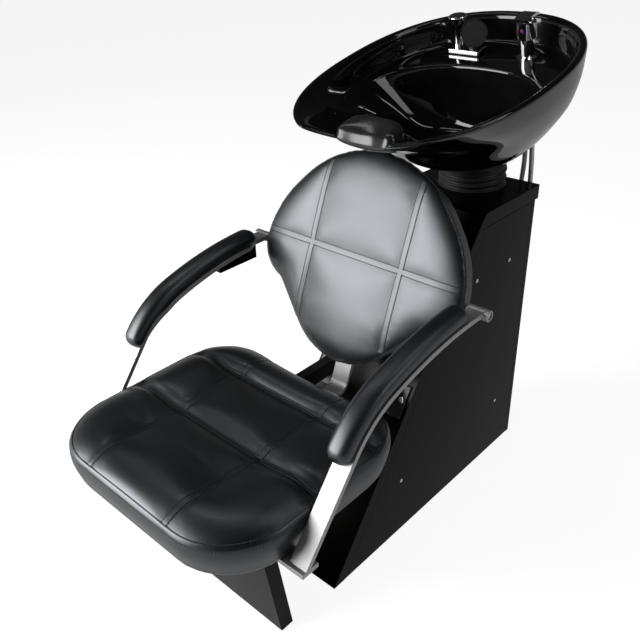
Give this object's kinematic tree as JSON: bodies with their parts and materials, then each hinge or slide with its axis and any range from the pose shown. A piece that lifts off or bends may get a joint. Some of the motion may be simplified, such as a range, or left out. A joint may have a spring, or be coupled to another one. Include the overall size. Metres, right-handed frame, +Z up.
{
  "type": "shampoo chair",
  "caption": "Salon shampoo chair with a padded seat, arms and back in front of a slant-fronted black cabinet that carries a tilting black basin with mixer and hand shower.",
  "frame": {"origin": "middle of the cabinet's base on the floor, on the chair's middle plane", "axes": "+Z up, +Y to the rear towards the basin, +X to the sitter's left, the mixer's side"},
  "size_m": [0.6412, 1.259, 1.1246],
  "materials": {
    "black_laminate": "polished black laminate board",
    "bare_wood": "raw plywood and pine",
    "black_vinyl": "soft-sheen black vinyl cover",
    "satin_aluminium": "satin cast and brushed aluminium",
    "zinc_steel": "bright zinc-plated fasteners",
    "black_steel": "black powder coat",
    "black_rubber": "moulded black rubber",
    "grey_rubber": "dark grey moulded rubber",
    "grey_plastic": "grey drain plastic",
    "braided_steel": "braided steel sleeve",
    "brass": "turned brass",
    "black_ceramic": "black glazed ceramic",
    "chrome": "polished chrome",
    "indicator": "red and blue enamel dot",
    "gloss_black_plastic": "gloss black plastic",
    "charcoal_plastic": "charcoal spray plate"
  },
  "bodies": {
    "stand": {"front_panel": "black_laminate", "side_panel_right": "black_laminate", "side_panel_left": "black_laminate", "rear_panel": "black_laminate", "base_board": "bare_wood", "top_board": "black_laminate", "cross_rails": "bare_wood", "side_screws": "zinc_steel", "front_leg": "black_laminate", "seat_rails": "black_steel", "flange_bolts": "zinc_steel", "seat_board": "bare_wood", "seat_cushion": "black_vinyl", "back_board": "black_vinyl", "back_cushion": "black_vinyl", "back_support_bar": "satin_aluminium", "bar_screws": "zinc_steel", "arm_right": "satin_aluminium", "arm_left": "satin_aluminium", "arm_pad_right": "black_vinyl", "arm_pad_left": "black_vinyl", "arm_barrel_bolts": "zinc_steel", "arm_spacers": "zinc_steel", "arm_foot_screws": "zinc_steel", "left_arm_block": "black_laminate", "tilt_foot_brackets": "black_steel", "tilt_pivot_bolts": "zinc_steel", "bowl_gaiter": "black_rubber", "waste_hose": "black_rubber", "waste_pipe": "grey_plastic", "pipe_clips": "grey_plastic", "hot_hose": "braided_steel", "cold_hose": "braided_steel", "water_inlets": "brass"},
    "bowl_unit": {"bowl": "black_ceramic", "neck_rest": "grey_rubber", "waste_flange": "chrome", "waste_nut": "grey_plastic", "tilt_head_bracket": "black_steel", "mixer_body": "chrome", "mixer_ring": "chrome", "mixer_nut": "grey_plastic", "spray_block": "chrome", "breaker_stem": "chrome", "breaker_cap": "chrome", "hose_nuts": "zinc_steel"},
    "mixer_head": {"mixer_cap": "chrome", "mixer_lever_pin": "chrome", "mixer_dot": "indicator"},
    "lever": {"mixer_lever": "chrome"},
    "shower": {"hand_shower": "gloss_black_plastic", "spray_face": "charcoal_plastic"},
    "strainer": {"hair_strainer": "chrome"}
  },
  "joints": [
    {"name": "bowl_tilt", "type": "hinge", "parent": "stand", "child": "bowl_unit", "pos_m": [0, 0.31, 0.77], "axis": [-1, 0, 0], "range_deg": [0, 14], "deforming": ["bowl_gaiter", "waste_hose", "hot_hose", "cold_hose"]},
    {"name": "mixer_swivel", "type": "hinge", "parent": "bowl_unit", "child": "mixer_head", "pos_m": [0.065, 0.3925, 1.07035], "axis": [0, -0.2147, 0.9767], "range_deg": [-45, 45]},
    {"name": "mixer_lift", "type": "hinge", "parent": "mixer_head", "child": "lever", "pos_m": [0.065, 0.39346, 1.11254], "axis": [-1, 0, 0], "range_deg": [0, 25]},
    {"name": "shower_lift", "type": "slide", "parent": "bowl_unit", "child": "shower", "axis": [0, -0.2147, 0.9767], "range_m": [0, 0.15]},
    {"name": "strainer_lift", "type": "slide", "parent": "bowl_unit", "child": "strainer", "axis": [0, -0.2147, 0.9767], "range_m": [0, 0.06]}
  ]
}
